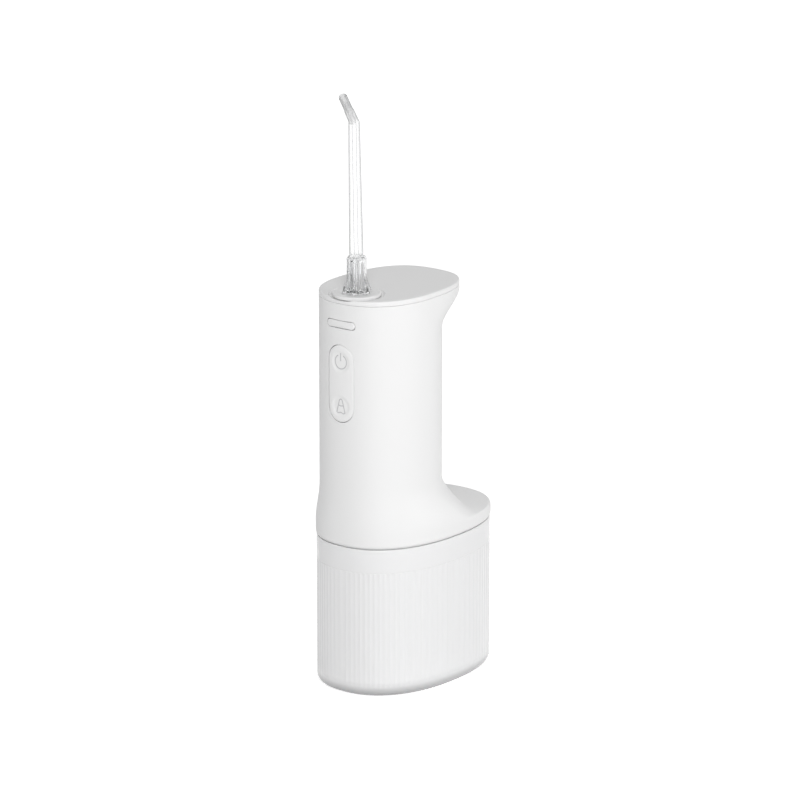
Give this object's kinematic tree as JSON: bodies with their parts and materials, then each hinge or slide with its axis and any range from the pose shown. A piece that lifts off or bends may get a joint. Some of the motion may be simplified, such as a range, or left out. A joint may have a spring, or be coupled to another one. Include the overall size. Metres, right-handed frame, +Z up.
{
  "type": "water flosser",
  "caption": "Upright cordless water flosser: oval frosted tank, narrow white handle with rear lip and shelf, rocking pad, turning disc and slim clear bent nozzle.",
  "frame": {"origin": "centre of the tank's flat underside", "axes": "+Z up, the button face looks to -Y, X is the width"},
  "size_m": [0.0618, 0.0929, 0.2686],
  "materials": {
    "tank_plastic": "frosted clear",
    "nozzle_plastic": "clear polished",
    "housing_plastic": "fine satin",
    "pad_plastic": "satin",
    "silicone": "soft",
    "inner_plastic": "moulded",
    "bright_steel": "plain",
    "laminated_iron": "plain",
    "brass": "plain",
    "contact_metal": "plated",
    "board": "masked",
    "components": "moulded",
    "cell_wrap": "wrapped",
    "gear_plastic": "moulded",
    "black_plastic": "moulded"
  },
  "bodies": {
    "tank": {"tank": "tank_plastic", "cap_hinge_pin": "bright_steel"},
    "fill_cap": {"fill_cap": "tank_plastic", "fill_cap_seal": "silicone"},
    "handle": {"housing": "housing_plastic", "top_lid": "housing_plastic", "base_plug": "inner_plastic", "tank_gasket": "silicone", "release_spring": "bright_steel", "nozzle_socket": "inner_plastic", "socket_seal": "silicone", "inner_frame": "inner_plastic", "battery_cell": "cell_wrap", "circuit_board": "board", "mode_switch": "components", "power_switch": "components", "board_components": "components", "board_bracket": "inner_plastic", "charge_port": "black_plastic", "charge_contacts": "contact_metal", "motor_can": "bright_steel", "motor_end_cap": "black_plastic", "motor_magnets": "laminated_iron", "gear_axle": "bright_steel", "pump_cylinder": "inner_plastic", "pump_head": "inner_plastic", "intake_hose": "silicone", "outlet_hose": "silicone", "suction_tube": "silicone", "suction_filter": "inner_plastic", "frame_screws": "bright_steel", "motor_screws": "bright_steel"},
    "pad": {"button_pad": "pad_plastic"},
    "release": {"release_button": "pad_plastic", "latch_plate": "inner_plastic"},
    "disc": {"rotation_disc": "housing_plastic"},
    "nozzle": {"nozzle": "nozzle_plastic"},
    "rotor": {"motor_shaft": "bright_steel", "motor_armature": "laminated_iron", "pinion": "brass"},
    "crank": {"crank_gear": "gear_plastic", "crank_pin": "bright_steel"},
    "piston": {"piston": "gear_plastic", "piston_seal": "silicone", "wrist_pin": "bright_steel"},
    "rod": {"connecting_rod": "gear_plastic"},
    "inlet_valve": {"inlet_valve_ball": "bright_steel"},
    "outlet_valve": {"outlet_valve_ball": "bright_steel"}
  },
  "joints": [
    {"name": "handle_lift", "type": "slide", "parent": "tank", "child": "handle", "axis": [0, 0, 1], "range_m": [0, 0.09]},
    {"name": "cap_hinge", "type": "hinge", "parent": "tank", "child": "fill_cap", "pos_m": [0, 0.04279, 0.0392], "axis": [-1, 0, 0], "range_deg": [0, 95]},
    {"name": "pad_rock", "type": "hinge", "parent": "handle", "child": "pad", "pos_m": [0, -0.0423, 0.1403], "axis": [1, 0, 0], "range_deg": [-1.5, 1.5], "stiffness_Nm_per_rad": 0.5},
    {"name": "release_press", "type": "slide", "parent": "handle", "child": "release", "axis": [0, 1, 0], "range_m": [0, 0.0015], "stiffness_N_per_m": 400, "springref_m": -0.002, "deforming": ["release_spring"]},
    {"name": "disc_turn", "type": "hinge", "parent": "handle", "child": "disc", "pos_m": [0, -0.0326, 0.17], "axis": [0, 0, 1], "continuous": true},
    {"name": "nozzle_pull", "type": "slide", "parent": "disc", "child": "nozzle", "axis": [0, 0, 1], "range_m": [0, 0.03]},
    {"name": "motor_spin", "type": "hinge", "parent": "handle", "child": "rotor", "pos_m": [0.0095, -0.02, 0.11], "axis": [0, 0, 1], "continuous": true},
    {"name": "crank_spin", "type": "hinge", "parent": "handle", "child": "crank", "pos_m": [-0.00402, -0.0135, 0.09], "axis": [0, 0, 1], "continuous": true},
    {"name": "piston_slide", "type": "slide", "parent": "handle", "child": "piston", "axis": [0, 1, 0], "range_m": [0, 0.005]},
    {"name": "rod_swing", "type": "hinge", "parent": "piston", "child": "rod", "pos_m": [-0.00402, -0.027, 0.081], "axis": [0, 0, 1], "range_deg": [-13, 13]},
    {"name": "inlet_valve_lift", "type": "slide", "parent": "handle", "child": "inlet_valve", "axis": [-1, 0, 0], "range_m": [-0.0004, 0.0003]},
    {"name": "outlet_valve_lift", "type": "slide", "parent": "handle", "child": "outlet_valve", "axis": [0, 0, 1], "range_m": [0, 0.0008]}
  ],
  "couplings": [
    {"joint": "crank_spin", "follows": "motor_spin", "ratio": -0.42857}
  ]
}
